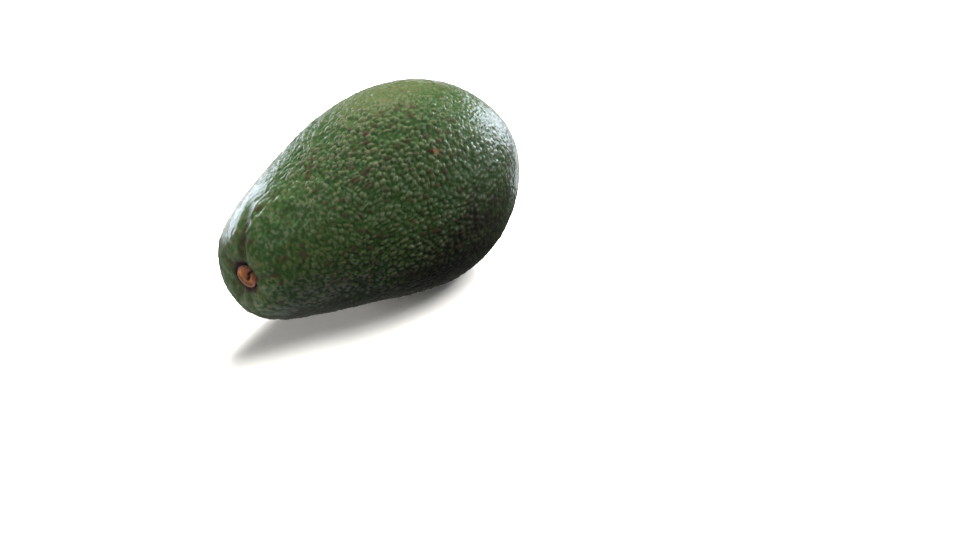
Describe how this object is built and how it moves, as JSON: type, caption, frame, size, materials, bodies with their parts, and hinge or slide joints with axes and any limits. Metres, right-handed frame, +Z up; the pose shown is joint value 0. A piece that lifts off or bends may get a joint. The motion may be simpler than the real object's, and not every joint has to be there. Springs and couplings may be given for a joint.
{
  "type": "whole avocado",
  "caption": "Whole avocado lying on its side: a pear-shaped fruit with a pebbled dark green skin, and the dried stump of its stalk in a dimple at the narrow end.",
  "frame": {"origin": "centre of the fruit's box at the height of the surface it lies on, so the resting spot is at Z = 0", "axes": "+Z up from the surface; +X along the fruit, from the stalk end to the blossom end; +Y level and square to both"},
  "size_m": [0.1042, 0.0656, 0.0648],
  "materials": {
    "skin": "pebbled dark green skin with a waxy gloss, paler green and red-brown flecks on the pebbles",
    "stalk": "dry, cracked orange-brown cork, dark at its edge"
  },
  "bodies": {
    "root": {"fruit": "skin", "stalk_stump": "stalk"}
  },
  "joints": []
}
